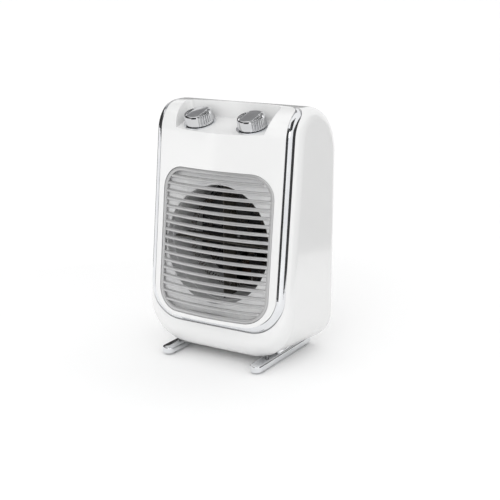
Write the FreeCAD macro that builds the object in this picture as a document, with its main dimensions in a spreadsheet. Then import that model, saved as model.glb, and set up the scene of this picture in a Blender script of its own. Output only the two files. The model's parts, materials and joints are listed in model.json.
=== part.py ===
import FreeCAD, Part
import math
import os

import Sketcher
from FreeCAD import Placement, Rotation, Vector

# Upright fan heater.  Millimetres, +Z up, the front faces -Y.  The origin lies on the floor under the
# middle of the heater's outline.  Every size below is a cell of the sheet, in millimetres or degrees.

SIZES = {
    # casing: a side profile drawn across the full width, cut to a front outline, with rounded edges
    "tilt": 6.2,  # the front leans back by this angle
    "case_half": 83.0,
    "case_bottom": 8.5,
    "case_top": 255.5,
    "case_back": 59.25,
    "case_front": -50.9,  # where the front plane would meet the floor
    "case_roll": 28.6,  # front top arc
    "case_arch": 49.5,  # rear top arc
    "case_corner": 50.0,  # lower corners in the front view, at the front
    "case_corner_back": 28.0,  # the same at the back
    "case_edge": 13.0,  # rounding between side and front, top and back
    "case_under": 20.0,  # rounding between front and underside
    "case_wall": 2.2,
    "seam": 36.75,  # plane between housing and rear cover
    # front panel
    "panel_apex": -59.25,  # the foremost line of the panel, at its lower edge
    "panel_bottom": 46.0,
    "panel_crown": 250.0,  # radius of the crown across the width
    "panel_half": 71.0,
    "panel_corner": 30.0,
    "panel_corner_top": 12.0,
    "panel_roll_height": 225.7,  # height of the centre of the roll over the top
    "panel_roll": 30.1,  # radius of that roll at the side edges
    "panel_end": -2.4,  # rear end of the panel on top
    "panel_wall": 2.4,
    "panel_skirt": 9.0,
    "gap": 0.4,
    # trim band round the panel
    "trim_width": 6.0,
    "trim_width_low": 8.4,
    "trim_round": 6.0,
    "trim_depth": 13.0,
    "trim_lip": 0.5,
    "trim_top": 2.4,
    # control recess and knobs
    "recess_tilt": 18.0,
    "recess_depth_y": -21.0,
    "recess_height": 236.2,
    "recess_half": 50.0,
    "recess_back": 16.5,
    "recess_draft": 4.0,
    "recess_rim": 11.4,
    "recess_wall": 2.4,
    "knob_spread": 30.3,
    "knob_radius": 14.8,
    "knob_length": 11.0,
    "knob_lift": 1.6,
    "bar_half": 7.5,
    "ring_radius": 16.2,
    "ring_thick": 1.2,
    "bush_radius": 4.5,
    "spindle_radius": 2.95,
    "running_gap": 0.05,
    # grille
    "grille_half": 63.5,
    "grille_low": 49.5,
    "grille_high": 194.5,
    "grille_corner": 24.0,
    "grille_border": 4.0,
    "grille_thick": 3.0,
    "grille_slots": 18,
    "grille_bar": 3.4,
    # air path
    "axis_height": 120.0,
    "duct_bore": 59.0,
    "duct_wall": 2.0,
    "duct_front": -39.3,
    "duct_back": 24.0,
    "liner_wall": 0.5,
    "plate_thick": 2.0,
    "mica_thick": 0.8,
    "mica_front": -27.0,
    "mica_depth": 24.0,
    "coil_outer": 45.0,
    "coil_inner": 27.0,
    "coil_thick": 3.0,
    # fan and motor
    "fan_front": 4.0,
    "hub_radius": 13.0,
    "hub_length": 15.0,
    "fan_radius": 54.0,
    "blade_count": 7,
    "blade_thick": 1.6,
    "shaft_radius": 1.6,
    "shaft_back": 52.0,
    "motor_front": 27.0,
    "core_front": 33.0,
    "core_thick": 12.0,
    "rotor_radius": 13.0,
    "rotor_gap": 0.5,
    # feet
    "foot_spread": 52.5,
    "foot_width": 13.0,
    "foot_low": 1.0,
    "foot_high": 9.0,
    "foot_front": -57.3,
    "foot_back": 55.0,
    "pad_radius": 4.0,
    # tip switch
    "plunger_radius": 3.0,
    "plunger_gap": 0.3,
    "switch_y": 14.0,
    # fasteners
    "screw_shank": 1.5,
    "screw_head": 2.9,
    "head_thick": 2.0,
}

doc = FreeCAD.newDocument("fan_heater")
sheet = doc.addObject("Spreadsheet::Sheet", "dims")
for row, (alias, value) in enumerate(SIZES.items(), start=1):
    sheet.set("A%d" % row, alias)
    sheet.set("B%d" % row, str(value))
    sheet.setAlias("B%d" % row, alias)
doc.recompute()

NODES = []
X_AXIS = Vector(1, 0, 0)
Y_AXIS = Vector(0, 1, 0)
Z_AXIS = Vector(0, 0, 1)
FAR = 200.0  # half the size of a cutting block that has to reach past the whole heater


def size(alias):
    return float(sheet.get(alias))


def keep(obj, node, placement=None):
    """Names a finished sub-part and puts it in its place."""
    obj.Label = node
    if placement is not None:
        obj.Placement = placement
    NODES.append(obj)
    return obj


def bind(obj, **formulas):
    """Ties properties of an object to the sheet."""
    for name, formula in formulas.items():
        obj.setExpression(name, formula)
    return obj


def feature(name, shape):
    obj = doc.addObject("Part::Feature", name)
    obj.Shape = shape
    return obj


def box(name, length, width, height, at=Vector()):
    """A block with bound sizes, its lowest corner at the given point."""
    obj = doc.addObject("Part::Box", name)
    bind(obj, Length=length, Width=width, Height=height)
    obj.Placement.Base = at
    return obj


def cylinder(name, radius, height, at=Vector(), turn=Rotation()):
    obj = doc.addObject("Part::Cylinder", name)
    bind(obj, Radius=radius, Height=height)
    obj.Placement = Placement(at, turn)
    return obj


def cut(name, base, tool):
    obj = doc.addObject("Part::Cut", name)
    obj.Base = base
    obj.Tool = tool
    return obj


def fuse(name, shapes):
    obj = doc.addObject("Part::MultiFuse", name)
    obj.Shapes = shapes
    obj.Refine = True
    return obj


def common(name, shapes):
    obj = doc.addObject("Part::MultiCommon", name)
    obj.Shapes = shapes
    return obj


def group(name, shapes):
    obj = doc.addObject("Part::Compound", name)
    obj.Links = shapes
    return obj


def ring_body(name, outer, inner, length):
    """A round piece as a body: one sketch of one or two circles, padded along Z."""
    body = doc.addObject("PartDesign::Body", name)
    sketch = body.newObject("Sketcher::SketchObject", name + "_sketch")
    plane = next(f for f in body.Origin.OriginFeatures if f.Role == "XY_Plane")
    sketch.AttachmentSupport = [(plane, "")]
    sketch.MapMode = "FlatFace"
    for start, formula in ((100.0, outer), (0.5, inner)):
        if formula is None:
            continue
        circle = sketch.addGeometry(Part.Circle(Vector(), Z_AXIS, start))
        sketch.addConstraint(Sketcher.Constraint("Coincident", circle, 3, -1, 1))
        radius = sketch.addConstraint(Sketcher.Constraint("Radius", circle, start))
        sketch.setExpression("Constraints[%d]" % radius, formula)
    pad = body.newObject("PartDesign::Pad", name + "_pad")
    pad.Profile = sketch
    pad.setExpression("Length", length)
    return body


TILT = math.radians(size("tilt"))
TO_BACK = Rotation(X_AXIS, -90)  # turns a piece drawn along +Z to run along +Y
AXIS = size("axis_height")


# ---- outlines ---------------------------------------------------------------------------------------


def front_roll(line_foot, centre_z, radius):
    """Centre and tangent point of the arc that carries the leaning front line over the top."""
    touch_z = centre_z + radius * math.sin(TILT)
    touch_y = line_foot + touch_z * math.tan(TILT)
    centre_y = touch_y + radius * math.cos(TILT)
    return Vector(0, centre_y, centre_z), Vector(0, touch_y, touch_z)


def on_circle(centre, radius, degrees):
    """Point of a circle in the side view, counted from the front (-Y) over the top."""
    angle = math.radians(degrees)
    return centre + Vector(0, -radius * math.cos(angle), radius * math.sin(angle))


def side_face(inset):
    """Side profile of the casing, moved inwards by the inset."""
    foot = size("case_front") + inset / math.cos(TILT)
    low = size("case_bottom") + inset
    top = size("case_top") - inset
    back = size("case_back") - inset
    roll = size("case_roll") - inset
    arch = size("case_arch") - inset
    centre, touch = front_roll(foot, size("case_top") - size("case_roll"), roll)
    arch_centre = Vector(0, size("case_back") - size("case_arch"), size("case_top") - size("case_arch"))
    start = Vector(0, foot + low * math.tan(TILT), low)
    over = Vector(0, centre.y, top)
    arch_start = Vector(0, arch_centre.y, top)
    arch_end = Vector(0, back, arch_centre.z)
    end = Vector(0, back, low)
    edges = [
        Part.LineSegment(start, touch).toShape(),
        Part.Arc(touch, on_circle(centre, roll, (size("tilt") + 90) / 2), over).toShape(),
        Part.LineSegment(over, arch_start).toShape(),
        Part.Arc(arch_start, on_circle(arch_centre, arch, 135), arch_end).toShape(),
        Part.LineSegment(arch_end, end).toShape(),
        Part.LineSegment(end, start).toShape(),
    ]
    return Part.Face(Part.Wire(edges))


def round_face(half, low, high, corner, corner_high=0.0):
    """Front outline in the plane y = 0 with rounded lower corners and, if asked, upper ones."""
    edges = []
    end = Vector(corner - half, 0, low)
    corners = (
        (half - corner, low + corner, corner, -90),
        (half - corner_high, high - corner_high, corner_high, 0),
        (corner_high - half, high - corner_high, corner_high, 90),
        (corner - half, low + corner, corner, 180),
    )
    for x, z, radius, start in corners:
        points = []
        for degrees in (start, start + 45, start + 90):
            angle = math.radians(degrees)
            points.append(Vector(x + radius * math.cos(angle), 0, z + radius * math.sin(angle)))
        edges.append(Part.LineSegment(end, points[0]).toShape())
        if radius > 0:
            edges.append(Part.Arc(*points).toShape())
        end = points[2]
    return Part.Face(Part.Wire(edges))


# ---- casing -----------------------------------------------------------------------------------------


def casing_block(name, inset):
    """The closed shape of the casing, with every edge rounded, moved inwards by the inset."""
    half = size("case_half") - inset
    low = size("case_bottom") + inset
    profile = feature(name + "_profile", side_face(inset))
    profile.Placement.Base = Vector(-half, 0, 0)
    across = doc.addObject("Part::Extrusion", name + "_across")
    across.Base = profile
    across.Dir = X_AXIS
    across.DirMode = "Custom"
    across.setExpression("LengthFwd", "2 * (dims.case_half - %g)" % inset)
    across.Solid = True
    middle = (size("case_front") + size("case_back")) / 2
    change = (size("case_corner_back") - size("case_corner")) / (size("case_back") - size("case_front"))
    mean = (size("case_corner") + size("case_corner_back")) / 2 - inset
    wires = []
    for y in (middle - 90, middle + 90):
        wire = round_face(half, low, FAR * 1.5, mean + change * (y - middle)).OuterWire
        wire.translate(Vector(0, y, 0))
        wires.append(wire)
    outline = feature(name + "_outline", Part.makeLoft(wires, True, True))
    sharp = common(name + "_sharp", [across, outline])
    doc.recompute()
    rounded = doc.addObject("Part::Fillet", name)
    rounded.Base = sharp
    side, under = size("case_edge") - inset, size("case_under") - inset
    mid = size("case_bottom") + size("case_corner")
    radii = []
    for index, edge in enumerate(sharp.Shape.Edges, start=1):
        bounds = edge.BoundBox
        if bounds.YLength > 90:
            continue  # lower tangent lines between corner, side and underside
        if bounds.XLength > 100 and bounds.ZMin > low + 1:
            continue  # tangent lines across the top, front and back
        front = bounds.YMax < 0
        if bounds.ZMax < mid + 1 and front:
            ends = [edge.Vertexes[0].Point.z, edge.Vertexes[-1].Point.z]
            pair = [side if z > low + 1 else under for z in ends]
            radii.append((index, pair[0], pair[1]))
        else:
            radii.append((index, side, side))
    rounded.Edges = radii
    doc.recompute()
    return rounded


casing_outer = casing_block("casing_outer", 0.0)
casing_inner = casing_block("casing_inner", size("case_wall"))


# ---- front panel ------------------------------------------------------------------------------------

CROWN = size("panel_crown")
PANEL_HALF = size("panel_half")
TOP_CROWN = 0.2  # how much of the crown is left where the panel ends on top


def sag(x):
    return CROWN - math.sqrt(CROWN * CROWN - x * x)


APEX_FOOT = size("panel_apex") - size("panel_bottom") * math.tan(TILT)
CROWN_SHIFT = math.cos(TILT) + TOP_CROWN * math.sin(TILT) * math.tan(TILT)
EDGE_FOOT = APEX_FOOT + sag(PANEL_HALF) * CROWN_SHIFT


def crowned_section(degrees, inset, depth, half=80.0):
    """Cross-section of the panel where its roll has reached the given angle."""
    roll = size("panel_roll")
    centre, touch = front_roll(EDGE_FOOT, size("panel_roll_height"), roll)
    base = on_circle(centre, roll - inset, degrees)
    angle = math.radians(degrees)
    outward = Vector(0, -math.cos(angle), TOP_CROWN * math.sin(angle))
    unit = outward / outward.Length
    middle = base + outward * sag(PANEL_HALF)
    side = base + outward * (sag(PANEL_HALF) - sag(half))
    low = base - unit * depth
    across = Vector(half, 0, 0)
    edges = [
        Part.Arc(side - across, middle, side + across).toShape(),
        Part.LineSegment(side + across, low + across).toShape(),
        Part.LineSegment(low + across, low - across).toShape(),
        Part.LineSegment(low - across, side - across).toShape(),
    ]
    return Part.Wire(edges)


def crowned_block(inset, depth):
    """The crowned panel as a thick block: straight up the front, then rolled over the top."""
    sections = [crowned_section(degrees, inset, depth) for degrees in (size("tilt"), 20, 35, 50, 65, 80, 95)]
    rolled = Part.makeLoft(sections, True, False)
    down = Vector(0, -math.sin(TILT), -math.cos(TILT)) * FAR
    straight = Part.Face(sections[0]).extrude(down)
    return straight.fuse(rolled)


def window(grow, grow_low, grow_end):
    """Cutter with the panel's outline: a front outline below, a top outline above."""
    join = size("panel_roll_height") + 5
    low = size("panel_bottom") - grow_low
    half = size("panel_half") + grow
    front = round_face(half, low, join, size("panel_corner") + grow)
    below = front.extrude(Vector(0, FAR - 2, 0))
    below.translate(Vector(0, -FAR, 0))
    end = size("panel_end") + grow_end
    above = Part.makeBox(2 * half, FAR + end, FAR, Vector(-half, -FAR, join))
    posts = [e for e in above.Edges if e.BoundBox.YMin > end - 1 and e.BoundBox.ZLength > 100]
    corner = size("panel_corner_top") + min(grow, grow_end)
    return below.fuse(above.makeFillet(corner, posts)).removeSplitter()


RECESS = Placement(
    Vector(0, size("recess_depth_y"), size("recess_height")),
    Rotation(X_AXIS, size("recess_tilt")),
)


def recess_block(grow):
    """The control recess as a block: flat floor, drafted side and rear walls, open to the front."""
    slope = size("recess_draft") / size("recess_rim")
    wires = []
    for height in (-grow, 45.0):
        spread = max(height, 0) * slope + grow
        half = size("recess_half") + spread
        back = size("recess_back") + spread
        wires.append(Part.makePolygon([
            Vector(-half, -60, height),
            Vector(half, -60, height),
            Vector(half, back, height),
            Vector(-half, back, height),
            Vector(-half, -60, height),
        ]))
    block = Part.makeLoft(wires, True, True)
    posts = [e for e in block.Edges if e.BoundBox.YMin > 0 and e.BoundBox.ZLength > 40]
    block = block.makeFillet(8.0 + grow, posts)
    block.Placement = RECESS
    return block


def edge_profile(inset):
    """Side profile at the level of the panel's side edges."""
    roll = size("panel_roll") - inset
    foot = EDGE_FOOT + inset / math.cos(TILT)
    centre, touch = front_roll(foot, size("panel_roll_height"), roll)
    low = 10.0
    over = on_circle(centre, roll, 90)
    edges = [
        Part.LineSegment(Vector(0, foot + low * math.tan(TILT), low), touch).toShape(),
        Part.Arc(touch, on_circle(centre, roll, 50), over).toShape(),
        Part.LineSegment(over, Vector(0, 30, over.z)).toShape(),
        Part.LineSegment(Vector(0, 30, over.z), Vector(0, 30, low)).toShape(),
        Part.LineSegment(Vector(0, 30, low), Vector(0, foot + low * math.tan(TILT), low)).toShape(),
    ]
    face = Part.Face(Part.Wire(edges))
    face.translate(Vector(-100, 0, 0))
    return face.extrude(Vector(200, 0, 0))


wall = size("panel_wall")
panel_outer = crowned_block(0.0, size("panel_skirt")).common(window(0, 0, 0))
panel_inner = crowned_block(wall, 20.0).common(window(-wall, -wall, -wall))
panel_lid = feature("panel_lid", panel_outer.cut(panel_inner))
recess_wall = size("recess_wall")
half_wall = wall / 2
under_skin = crowned_block(half_wall, 6.0).fuse(edge_profile(half_wall + 2.0))
tray_limit = under_skin.common(window(-half_wall, -half_wall, -half_wall))
recess_tray = feature("recess_tray", recess_block(recess_wall).common(tray_limit))
recess_room = feature("recess_room", recess_block(0.0))
grille_hole = feature("grille_hole", round_face(
    size("grille_half") + 0.2,
    size("grille_low") - 0.2,
    size("grille_high") + 0.2,
    size("grille_corner") + 0.2,
    size("grille_corner") + 0.2,
).extrude(Vector(0, 60, 0)))
grille_hole.Placement.Base = Vector(0, -75, 0)
panel_solid = fuse("panel_solid", [panel_lid, recess_tray])


def on_recess(x, along, height):
    """Placement on the recess floor: x across, along the slope, height off the floor."""
    return RECESS * Placement(Vector(x, along, height), Rotation())


control_holes = []
for side in (-1, 1):
    hole = cylinder("control_hole", "dims.bush_radius + 0.1", "12")
    hole.Placement = on_recess(side * size("knob_spread"), 0, -6)
    control_holes.append(hole)
panel_cuts = fuse("panel_cuts", [recess_room, grille_hole] + control_holes)
front_panel = keep(cut("front_panel", panel_solid, panel_cuts), "front_panel")


# ---- chrome trim ------------------------------------------------------------------------------------


def outer_chain(block, faces):
    """Edges that belong to exactly one of the given faces."""
    edges = [edge for face in faces for edge in face.Edges]
    return [edge for edge in edges if sum(edge.isSame(other) for other in edges) == 1]


def is_ledge(face):
    """The flat step where the two outlines of the window meet."""
    return face.BoundBox.ZLength < 0.01 and face.BoundBox.ZMax < size("case_top") - 10


grow, grow_low = size("trim_width"), size("trim_width_low")
grow = grow + size("gap") + size("trim_lip")
trim_block = edge_profile(0.0).common(window(grow, grow_low, grow)).removeSplitter()
front_faces = []
for face in trim_block.Faces:
    normal = face.normalAt(*[sum(pair) / 2 for pair in (face.ParameterRange[:2], face.ParameterRange[2:])])
    leaning = normal.y < -0.2 or normal.z > 0.9
    if abs(normal.x) < 0.01 and leaning and not is_ledge(face):
        front_faces.append(face)
trim_block = trim_block.makeFillet(size("trim_round"), outer_chain(trim_block, front_faces))
gap = size("gap")
trim_ring = trim_block.common(window(grow, grow_low, size("trim_top")))
trim_ring = trim_ring.cut(window(gap, gap, gap)).cut(edge_profile(size("trim_depth")))
chrome_trim = keep(feature("chrome_trim", trim_ring), "chrome_trim")


# ---- housing and rear cover -------------------------------------------------------------------------

shell = cut("casing_shell", casing_outer, casing_inner)
trim_opening = feature("trim_opening", window(grow, grow_low, size("trim_top")))
front_half = box("front_half", "400", "200 + dims.seam", "400", Vector(-FAR, -FAR, -20))
rear_half = box("rear_half", "400", "200", "400", Vector(-FAR, size("seam"), -20))
housing_shell = common("housing_shell", [shell, front_half])
cover_shell = common("cover_shell", [shell, rear_half])
FOOT_SCREWS = [(side * size("foot_spread"), y) for side in (-1, 1) for y in (-30.0, 35.0)]
COVER_SCREWS = [Vector(side * x, 0, z) for side in (-1, 1) for x, z in ((56, 40), (64, 200))]


def screw(at, turn, length, head="dims.head_thick"):
    """Pan head screw: the head's outer face at the point, the shank running along the turned +Z."""
    top = cylinder("screw_head", "dims.screw_head", head)
    shank = cylinder("screw_shank", "dims.screw_shank", "%g" % length, Vector(0, 0, size("head_thick")))
    slot = box("screw_slot", "0.8", "3.6", "0.8", Vector(-0.4, -1.8, 0))
    body = cut("screw", fuse("screw_blank", [top, shank]), slot)
    body.Placement = Placement(at, turn)
    return body


UP = Rotation()
TO_FRONT = Rotation(X_AXIS, 90)

housing_holes = [
    cylinder("foot_hole", "dims.screw_shank", "30", Vector(x, y, 5)) for x, y in FOOT_SCREWS
]
housing_holes.append(cylinder(
    "plunger_hole", "dims.plunger_radius + dims.plunger_gap", "20", Vector(0, size("switch_y"), 5)))
post_start, post_end = size("seam") - 16, size("seam") + 14
posts = []
for point in COVER_SCREWS:
    side = math.copysign(1, point.x)
    post_at = point + Vector(0, post_start, 0)
    posts.append(cylinder("post", "5", "%g" % (post_end - post_start), post_at, TO_BACK))
    web_at = Vector(point.x if side > 0 else -size("case_half"), post_start, point.z - 1.25)
    web = box("web", "dims.case_half - %g" % abs(point.x), "16", "2.5", web_at)
    posts.append(common("post_web", [web, casing_outer]))
    tip = cylinder("post_hole", "dims.screw_shank", "50", point + Vector(0, 10, 0), TO_BACK)
    housing_holes.append(tip)
housing_body = fuse("housing_body", [housing_shell] + posts)
housing_cuts = fuse("housing_cuts", [trim_opening] + housing_holes)
main_housing = keep(cut("main_housing", housing_body, housing_cuts), "main_housing")

# rear cover: intake slots in two columns, a grip pocket, screw holes and the cord inlet
LOUVRE_PITCH = 8.0
louvres = []
for side in (-1, 1):
    for index in range(15):
        at = Vector(side * 29 - 25, size("case_back") - 10, 58 + index * LOUVRE_PITCH)
        louvres.append(box("louvre", "50", "20", "4.2", at))
grip_outer = box("grip_outer", "94", "19", "24", Vector(-47, size("case_back") - 19.5, 184))
grip_inner = box("grip_inner", "90", "30", "20", Vector(-45, size("case_back") - 17.5, 186))
grip_pocket = common("grip_pocket", [grip_outer, casing_outer])
cover_holes = [grip_inner] + louvres
bosses = []
head_level = size("case_back") - 0.6  # outer face of the screw heads
for point in COVER_SCREWS:
    boss = cylinder("boss", "5.4", "20", Vector(point.x, post_end, point.z), TO_BACK)
    bosses.append(common("cover_boss", [boss, casing_outer]))
    hole_at = Vector(point.x, 40, point.z)
    cover_holes.append(cylinder("cover_hole", "dims.screw_shank", "30", hole_at, TO_BACK))
    bore_at = Vector(point.x, head_level - size("head_thick"), point.z)
    cover_holes.append(cylinder("cover_bore", "dims.screw_head + 0.4", "9", bore_at, TO_BACK))
cover_body = fuse("cover_body", [cover_shell, grip_pocket] + bosses)
GLAND = Vector(38, 0, 40)
cover_holes.append(cylinder("inlet_hole", "6.5", "30", Vector(GLAND.x, 45, GLAND.z), TO_BACK))
rear_cover = keep(cut("rear_cover", cover_body, fuse("cover_cuts", cover_holes)), "rear_cover")
cover_screws = group("cover_screws", [
    screw(Vector(p.x, head_level, p.z), TO_FRONT, 20) for p in COVER_SCREWS])

gland_tube = cut(
    "gland_tube",
    cylinder("gland_outer", "6.5", "12", Vector(GLAND.x, size("case_back") - 12, GLAND.z), TO_BACK),
    cylinder("gland_bore", "3.6", "30", Vector(GLAND.x, size("case_back") - 20, GLAND.z), TO_BACK),
)
gland_flange = cut(
    "gland_flange",
    cylinder("flange_outer", "8.5", "2", Vector(GLAND.x, size("case_back") - 4.2, GLAND.z), TO_BACK),
    cylinder("flange_bore", "3.6", "30", Vector(GLAND.x, size("case_back") - 20, GLAND.z), TO_BACK),
)
cord_gland = keep(fuse("cord_gland", [gland_tube, gland_flange]), "cord_gland")


# ---- grille -----------------------------------------------------------------------------------------


def grille_outline(inset):
    """The grille's outline as a long block along Y, moved inwards by the inset."""
    corner = size("grille_corner") - inset
    low, high = size("grille_low") + inset, size("grille_high") - inset
    face = round_face(size("grille_half") - inset, low, high, corner, corner)
    block = face.extrude(Vector(0, 60, 0))
    block.translate(Vector(0, -80, 0))
    return block


grille_skin = crowned_block(0.3, size("grille_thick")).cut(crowned_block(size("grille_thick") + 0.3, 20.0))
border = grille_outline(0.0).cut(grille_outline(size("grille_border")))
bar = size("grille_bar")
inner_low = size("grille_low") + size("grille_border")
inner_high = size("grille_high") - size("grille_border")
slots = int(size("grille_slots"))
pitch = (inner_high - inner_low + bar) / slots
bars = []
for index in range(1, slots):
    at = Vector(-size("grille_half"), -80, inner_low + index * pitch - bar)
    bars.append(Part.makeBox(2 * size("grille_half"), 60, bar, at))
lattice = border.multiFuse([piece.common(grille_outline(1.0)) for piece in bars])
front_grille = keep(feature("front_grille", lattice.common(grille_skin).removeSplitter()), "front_grille")


# ---- air path ---------------------------------------------------------------------------------------


def leaning_slab(front, thick):
    """A slab parallel to the front, its front face at the given depth on the fan's axis."""
    foot = front - AXIS * math.tan(TILT)
    run = thick / math.cos(TILT)
    points = [
        Vector(-150, foot, 0),
        Vector(-150, foot + 300 * math.tan(TILT), 300),
        Vector(-150, foot + run + 300 * math.tan(TILT), 300),
        Vector(-150, foot + run, 0),
        Vector(-150, foot, 0),
    ]
    return Part.Face(Part.makePolygon(points)).extrude(Vector(300, 0, 0))


def along_axis(y):
    return Vector(0, y, AXIS)


plate_edge = 1.0
plate_outline = feature("plate_outline", grille_outline(plate_edge))
plate_slab = feature("plate_slab", leaning_slab(size("duct_front"), size("plate_thick")))
plate_hole = cylinder("plate_hole", "dims.duct_bore", "100", along_axis(-80), TO_BACK)
plate_blank = common("plate_blank", [plate_outline, plate_slab])
duct_plate = keep(cut("duct_plate", plate_blank, plate_hole), "duct_plate")

duct_tube = cylinder(
    "duct_tube", "dims.duct_bore + dims.duct_wall", "dims.duct_back + 60", along_axis(-60), TO_BACK)
duct_flange = cylinder("duct_flange", "dims.duct_bore + 7", "2", along_axis(size("duct_back") - 2), TO_BACK)
duct_hole = cylinder("duct_hole", "dims.duct_bore", "200", along_axis(-100), TO_BACK)
front_of_duct = feature("front_of_duct", leaning_slab(size("duct_front") - 60, 60 + size("plate_thick")))
FLANGE_SCREWS = []
for index in range(4):
    angle = math.radians(45 + 90 * index)
    reach = size("duct_bore") + 4.2
    FLANGE_SCREWS.append(Vector(reach * math.cos(angle), 0, AXIS + reach * math.sin(angle)))
flange_holes = [
    cylinder("flange_hole", "dims.screw_shank", "9", p + Vector(0, size("duct_back") - 4, 0), TO_BACK)
    for p in FLANGE_SCREWS
]
duct_cuts = fuse("duct_cuts", [duct_hole, front_of_duct] + flange_holes)
air_duct = keep(cut("air_duct", fuse("duct_body", [duct_tube, duct_flange]), duct_cuts), "air_duct")

duct_liner = ring_body("duct_liner", "dims.duct_bore - 0.1", "dims.duct_bore - 0.1 - dims.liner_wall", "32")
keep(duct_liner, "duct_liner", Placement(along_axis(-30), TO_BACK))

# crossed mica boards, half-lapped, notched where the heating coils pass
coil_middle = size("mica_front") + size("mica_depth") / 2
MICA_HALF = size("duct_bore") - size("liner_wall") - 0.4


def coil_ring(name, radius, extra):
    ring = doc.addObject("Part::Torus", name)
    bind(ring, Radius1=radius, Radius2="dims.coil_thick + %g" % extra)
    ring.Placement = Placement(along_axis(coil_middle), TO_BACK)
    return ring


coil_notches = fuse("coil_notches", [
    coil_ring("outer_notch", "dims.coil_outer", 0.2),
    coil_ring("inner_notch", "dims.coil_inner", 0.2),
])
for node, upright in (("mica_board_level", False), ("mica_board_upright", True)):
    board = box(node + "_blank", "%g" % (2 * MICA_HALF), "dims.mica_depth", "dims.mica_thick")
    board.Placement.Base = Vector(-MICA_HALF, 0, -size("mica_thick") / 2)
    half_lap = size("mica_depth") / 2 if upright else 0.0
    lap = box(node + "_lap", "dims.mica_thick + 0.1", "dims.mica_depth / 2 + 0.1", "4")
    lap.Placement.Base = Vector(-size("mica_thick") / 2 - 0.05, half_lap, -2)
    plain = cut(node + "_plain", board, lap)
    turn = Rotation(Y_AXIS, 90) if upright else Rotation()
    plain.Placement = Placement(along_axis(size("mica_front")), turn)
    keep(cut(node, plain, coil_notches), node)
keep(coil_ring("heating_coil_outer", "dims.coil_outer", 0.0), "heating_coil_outer")
keep(coil_ring("heating_coil_inner", "dims.coil_inner", 0.0), "heating_coil_inner")

cutout = ring_body("thermal_cutout", "7", None, "4.5")
keep(cutout, "thermal_cutout", Placement(Vector(0, -8, AXIS + size("duct_bore") + size("duct_wall")), UP))
fuse_at = Vector(28, -7, AXIS + size("mica_thick") / 2 + 2)
thermal_fuse = ring_body("thermal_fuse", "2", None, "13")
keep(thermal_fuse, "thermal_fuse", Placement(fuse_at, Rotation(Y_AXIS, 90)))


# ---- fan and motor ----------------------------------------------------------------------------------

hub = cylinder("hub", "dims.hub_radius", "dims.hub_length", along_axis(size("fan_front")), TO_BACK)
shaft_hole = cylinder("shaft_hole", "dims.shaft_radius", "100", along_axis(-40), TO_BACK)


def blade_section(radius, chord, pitch):
    """Flat blade section across the radius, pitched against the plane of rotation."""
    angle = math.radians(pitch)
    half_x, half_y = chord / 2 * math.cos(angle), chord / 2 * math.sin(angle)
    thick = size("blade_thick") / 2
    off_x, off_y = -thick * math.sin(angle), thick * math.cos(angle)
    points = [
        Vector(half_x + off_x, half_y + off_y, radius),
        Vector(half_x - off_x, half_y - off_y, radius),
        Vector(-half_x - off_x, -half_y - off_y, radius),
        Vector(-half_x + off_x, -half_y + off_y, radius),
    ]
    return Part.makePolygon(points + points[:1])


blade = Part.makeLoft([
    blade_section(size("hub_radius") - 1.5, 11, 42),
    blade_section(30.0, 24, 32),
    blade_section(size("fan_radius") - 2.5, 34, 24),
], True, True)
hub_middle = size("fan_front") + size("hub_length") / 2
blades = []
for index in range(int(size("blade_count"))):
    turn = Rotation(Y_AXIS, index * 360 / size("blade_count"))
    piece = feature("blade", blade.copy())
    piece.Placement = Placement(along_axis(hub_middle), turn)
    blades.append(piece)
impeller = cut("fan_impeller", fuse("impeller_blank", [hub] + blades), shaft_hole)
keep(impeller, "fan_impeller")

shaft = ring_body("motor_shaft", "dims.shaft_radius", None, "dims.shaft_back - 2")
keep(shaft, "motor_shaft", Placement(along_axis(2), TO_BACK))
rotor = ring_body("motor_rotor", "dims.rotor_radius", "dims.shaft_radius", "dims.core_thick + 1")
keep(rotor, "motor_rotor", Placement(along_axis(size("core_front") - 0.5), TO_BACK))

# stator: a rectangular stack with the rotor bore above and the winding's window below
CORE_HALF, CORE_LOW, CORE_HIGH = 24.0, AXIS - 44, AXIS + 20
core = box("core", "48", "dims.core_thick", "64", Vector(-CORE_HALF, size("core_front"), CORE_LOW))
core_bore = cylinder("core_bore", "dims.rotor_radius + dims.rotor_gap", "60", along_axis(20), TO_BACK)
core_window = box("core_window", "26", "60", "15", Vector(-13, 20, CORE_LOW + 10))
BOLTS = [Vector(side * 19, 0, AXIS) for side in (-1, 1)]
bolt_holes = [cylinder("bolt_hole", "dims.screw_shank", "60", p + Vector(0, 15, 0), TO_BACK) for p in BOLTS]
core_cuts = fuse("core_cuts", [core_bore, core_window] + bolt_holes)
motor_core = keep(cut("motor_core", core, core_cuts), "motor_core")
winding_at = Vector(-12, size("core_front") - 4.5, CORE_LOW - 4.5)
winding = box("winding", "24", "dims.core_thick + 9", "19", winding_at)
winding_leg = box("winding_leg", "60", "dims.core_thick", "10", Vector(-30, size("core_front"), CORE_LOW))
motor_winding = keep(cut("motor_winding", winding, winding_leg), "motor_winding")

MOTOR_BRACKETS = (
    ("motor_front_bracket", size("motor_front")),
    ("motor_rear_bracket", size("core_front") + 15),
)
for node, y in MOTOR_BRACKETS:
    strap = box(node + "_strap", "50", "2", "12", Vector(-25, y, AXIS - 6))
    cup = cylinder(node + "_cup", "8", "2", along_axis(y), TO_BACK)
    bore = cylinder(node + "_bore", "3.5", "10", along_axis(y - 4), TO_BACK)
    holes = [cylinder(node + "_hole", "dims.screw_shank", "60", p + Vector(0, 15, 0), TO_BACK) for p in BOLTS]
    keep(cut(node, fuse(node + "_body", [strap, cup]), fuse(node + "_cuts", [bore] + holes)), node)
bushes = []
for y in (size("motor_front"), size("core_front") + 15):
    bush = ring_body("bush", "3.5", "dims.shaft_radius + dims.running_gap", "2")
    bush.Placement = Placement(along_axis(y), TO_BACK)
    bushes.append(bush)
keep(group("bearing_bushes", bushes), "bearing_bushes")

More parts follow.
